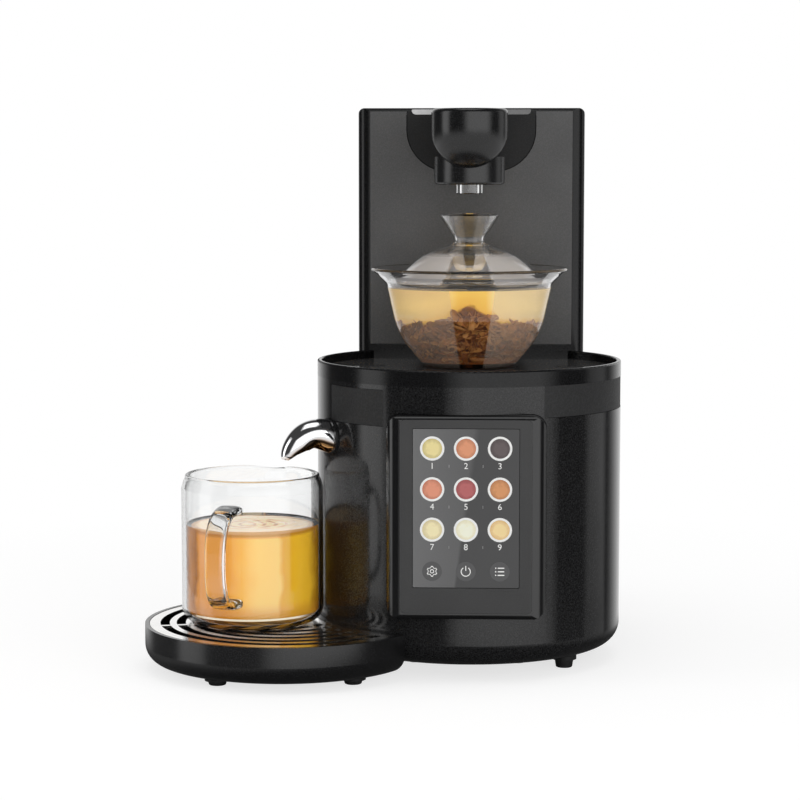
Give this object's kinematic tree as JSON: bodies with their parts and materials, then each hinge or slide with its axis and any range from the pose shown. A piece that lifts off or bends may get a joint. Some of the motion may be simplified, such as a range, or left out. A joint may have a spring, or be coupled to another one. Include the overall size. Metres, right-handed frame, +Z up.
{
  "type": "automatic tea maker",
  "caption": "Drum-shaped tea maker with a touch screen, a glass brewing bowl under a dispensing head, a rear water tank, a drain spout and a drip tray with a glass pitcher.",
  "frame": {"origin": "centre of the footprint's bounding rectangle, on the table", "axes": "+Z up and the longest extent, -Y towards the user, +X to the user's right; the drip tray is on the -X side"},
  "size_m": [0.2624, 0.2432, 0.308],
  "materials": {
    "gloss_black": "glossy black plastic with a fine grain",
    "satin_black": "satin black plastic",
    "textured_black": "fine leather-like grain",
    "panel_grey": "satin dark grey",
    "deck_black": "mirror-gloss black deck",
    "screen_glass": "touch glass",
    "clear_glass": "clear borosilicate glass",
    "smoke_tank": "smoke-tinted clear plastic",
    "chrome": "polished chrome",
    "steel": "polished stainless steel",
    "dull_steel": "plain steel",
    "rubber": "black rubber",
    "silicone": "milky silicone",
    "circuit_green": "circuit board",
    "white_plastic": "natural white plastic"
  },
  "bodies": {
    "machine": {"drum_shell": "gloss_black", "top_ring": "gloss_black", "deck_plate": "deck_black", "seat_gasket": "rubber", "base_plate": "satin_black", "base_screws": "dull_steel", "inlay_left": "textured_black", "inlay_right": "textured_black", "screen_bezel": "gloss_black", "face_plate": "panel_grey", "touch_glass": "screen_glass", "lcd_module": "satin_black", "control_board": "circuit_green", "power_board": "circuit_green", "board_screws": "dull_steel", "switch_frame": "satin_black", "power_inlet": "satin_black", "tower_shell": "gloss_black", "tower_back": "satin_black", "back_screws": "dull_steel", "tower_panel": "panel_grey", "tower_ledge": "satin_black", "brew_head": "gloss_black", "head_flange": "satin_black", "head_trim": "steel", "head_collar": "gloss_black", "nozzle": "clear_glass", "tank_base": "satin_black", "tank_socket": "white_plastic", "drain_funnel": "silicone", "solenoid": "satin_black", "chute": "chrome", "chute_collar": "gloss_black", "pump_housing": "white_plastic", "heater": "dull_steel", "feed_hose": "silicone", "pump_hose": "silicone", "riser_hose": "silicone", "base_foot_front_left": "rubber", "base_foot_front_right": "rubber", "base_foot_rear_left": "rubber", "base_foot_rear_right": "rubber"},
    "power_rocker": {"switch_rocker": "gloss_black"},
    "tank": {"water_tank": "smoke_tank", "tank_grip_left": "rubber", "tank_grip_right": "rubber", "tank_hinge_pin": "dull_steel"},
    "tank_cover": {"tank_lid": "gloss_black"},
    "tank_outlet": {"tank_valve": "silicone"},
    "gaiwan": {"gaiwan_bowl": "clear_glass"},
    "gaiwan_cover": {"gaiwan_lid": "clear_glass"},
    "drain_ball": {"valve_ball": "steel"},
    "ball_lifter": {"lift_magnet": "dull_steel"},
    "tray": {"tray_body": "gloss_black", "tray_foot_1": "rubber", "tray_foot_2": "rubber", "tray_foot_3": "rubber"},
    "grille": {"tray_grille": "steel"},
    "tea_pitcher": {"pitcher": "clear_glass"},
    "impeller": {"pump_rotor": "white_plastic"}
  },
  "joints": [
    {"name": "power_switch_rock", "type": "hinge", "parent": "machine", "child": "power_rocker", "pos_m": [0.12683, -0.00368, 0.0898], "axis": [0, -1, 0], "range_deg": [0, 14]},
    {"name": "tank_lift", "type": "slide", "parent": "machine", "child": "tank", "axis": [0, 0, 1], "range_m": [0, 0.12]},
    {"name": "tank_lid_open", "type": "hinge", "parent": "tank", "child": "tank_cover", "pos_m": [0.04623, 0.11792, 0.3057], "axis": [-1, 0, 0], "range_deg": [0, 95]},
    {"name": "tank_valve_open", "type": "slide", "parent": "tank", "child": "tank_outlet", "axis": [0, 0, 1], "range_m": [0, 0.0025]},
    {"name": "gaiwan_take_out", "type": "slide", "parent": "machine", "child": "gaiwan", "axis": [0, -0.98, 0.199], "range_m": [0, 0.13]},
    {"name": "gaiwan_lid_lift", "type": "slide", "parent": "gaiwan", "child": "gaiwan_cover", "axis": [0, 0, 1], "range_m": [0, 0.006]},
    {"name": "magnet_raise", "type": "slide", "parent": "machine", "child": "ball_lifter", "axis": [0, 0, 1], "range_m": [0, 0.004]},
    {"name": "drain_ball_raise", "type": "slide", "parent": "gaiwan", "child": "drain_ball", "axis": [0, 0, 1], "range_m": [0, 0.004]},
    {"name": "tray_pull", "type": "slide", "parent": "machine", "child": "tray", "axis": [-1, 0, 0], "range_m": [0, 0.08]},
    {"name": "grille_lift", "type": "slide", "parent": "tray", "child": "grille", "axis": [0, 0, 1], "range_m": [0, 0.005]},
    {"name": "pitcher_pull", "type": "slide", "parent": "grille", "child": "tea_pitcher", "axis": [-0.2588, -0.9659, 0], "range_m": [0, 0.09]},
    {"name": "impeller_spin", "type": "hinge", "parent": "machine", "child": "impeller", "pos_m": [0.09123, 0.03132, 0.028], "axis": [0, 1, 0], "continuous": true}
  ],
  "couplings": [
    {"joint": "drain_ball_raise", "follows": "magnet_raise", "ratio": 1}
  ]
}
